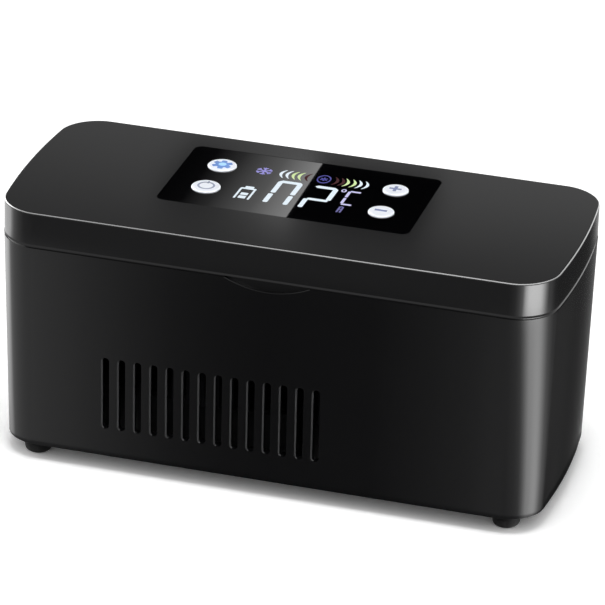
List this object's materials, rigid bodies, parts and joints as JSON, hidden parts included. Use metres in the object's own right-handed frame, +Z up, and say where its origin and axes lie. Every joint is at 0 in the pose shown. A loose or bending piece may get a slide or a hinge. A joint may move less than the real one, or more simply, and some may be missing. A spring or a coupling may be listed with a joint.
{
  "type": "insulin cooling case",
  "caption": "Black portable medicine cooler box with a hinged lid, display panel and push buttons, an insulated tray, and a thermoelectric cooler with fan below.",
  "frame": {"origin": "on the ground under the middle of the whole case, hinge barrels included", "axes": "+X along the long side to the right seen from the front, +Y from the front to the hinge, +Z up"},
  "size_m": [0.212, 0.0926, 0.1015],
  "materials": {
    "gloss_abs": "black moulded ABS with a satin-gloss piano finish",
    "satin_abs": "black moulded ABS, fine satin texture",
    "display_face": "black display face",
    "panel_acrylic": "mirror-gloss smoked acrylic",
    "tray_aluminium": "drawn and anodised, satin",
    "anodised_aluminium": "black anodised extrusion",
    "foam": "moulded expanded foam",
    "ceramic": "fired alumina, matt",
    "rubber": "black moulded rubber, matt",
    "zinc_steel": "zinc plated",
    "magnet_nickel": "nickel plated",
    "grey_nylon": "dark moulded nylon",
    "cell_sleeve": "heat-shrunk sleeve",
    "circuit_board": "green solder mask on glass fibre",
    "button_white": "white moulded ABS, satin gloss",
    "red_pvc": "red extruded PVC",
    "black_pvc": "black extruded PVC",
    "grey_pvc": "grey extruded PVC"
  },
  "bodies": {
    "case": {"housing": "gloss_abs", "bottom_cover": "satin_abs", "top_frame": "satin_abs", "cold_tray": "tray_aluminium", "foam_insulation": "foam", "foot_1": "rubber", "foot_2": "rubber", "foot_3": "rubber", "foot_4": "rubber", "bottom_screw_1": "zinc_steel", "bottom_screw_2": "zinc_steel", "bottom_screw_3": "zinc_steel", "bottom_screw_4": "zinc_steel", "hinge_pin_1": "zinc_steel", "hinge_pin_2": "zinc_steel", "case_magnet": "magnet_nickel", "cold_block": "tray_aluminium", "cooling_module": "ceramic", "heat_sink": "anodised_aluminium", "heat_sink_screw_1": "zinc_steel", "heat_sink_screw_2": "zinc_steel", "fan_frame": "grey_nylon", "battery_holder": "grey_nylon", "battery_cell_1": "cell_sleeve", "battery_cell_2": "cell_sleeve", "control_board": "circuit_board", "dc_jack": "grey_nylon", "temperature_sensor": "grey_nylon", "module_lead_red": "red_pvc", "module_lead_black": "black_pvc", "fan_lead": "black_pvc", "battery_lead": "red_pvc", "sensor_lead": "grey_pvc", "display_lead": "grey_pvc"},
    "lid": {"lid_shell": "gloss_abs", "display_panel": "panel_acrylic", "display_board": "circuit_board", "display_module": "display_face", "lid_liner": "satin_abs", "lid_foam": "foam", "lid_gasket": "rubber", "lid_magnet": "magnet_nickel", "lid_screw_1": "zinc_steel", "lid_screw_2": "zinc_steel", "lid_screw_3": "zinc_steel", "lid_screw_4": "zinc_steel", "lid_display_lead": "grey_pvc", "mode_switch": "grey_nylon", "power_switch": "grey_nylon", "plus_switch": "grey_nylon", "minus_switch": "grey_nylon"},
    "fan": {"fan_rotor": "satin_abs"},
    "mode_key": {"mode_button": "button_white", "mode_plunger": "grey_nylon"},
    "power_key": {"power_button": "button_white", "power_plunger": "grey_nylon"},
    "plus_key": {"plus_button": "button_white", "plus_plunger": "grey_nylon"},
    "minus_key": {"minus_button": "button_white", "minus_plunger": "grey_nylon"}
  },
  "joints": [
    {"name": "lid_hinge", "type": "hinge", "parent": "case", "child": "lid", "pos_m": [0, 0.04415, 0.08818], "axis": [-1, 0, 0], "range_deg": [0, 100]},
    {"name": "fan_spin", "type": "hinge", "parent": "case", "child": "fan", "pos_m": [-0.0213, -0.00135, 0.0193], "axis": [0, 0, 1], "continuous": true},
    {"name": "mode_press", "type": "slide", "parent": "lid", "child": "mode_key", "axis": [0, 0, -1], "range_m": [0, 0.0006], "stiffness_N_per_m": 500},
    {"name": "power_press", "type": "slide", "parent": "lid", "child": "power_key", "axis": [0, 0, -1], "range_m": [0, 0.0006], "stiffness_N_per_m": 500},
    {"name": "plus_press", "type": "slide", "parent": "lid", "child": "plus_key", "axis": [0, 0, -1], "range_m": [0, 0.0006], "stiffness_N_per_m": 500},
    {"name": "minus_press", "type": "slide", "parent": "lid", "child": "minus_key", "axis": [0, 0, -1], "range_m": [0, 0.0006], "stiffness_N_per_m": 500}
  ]
}
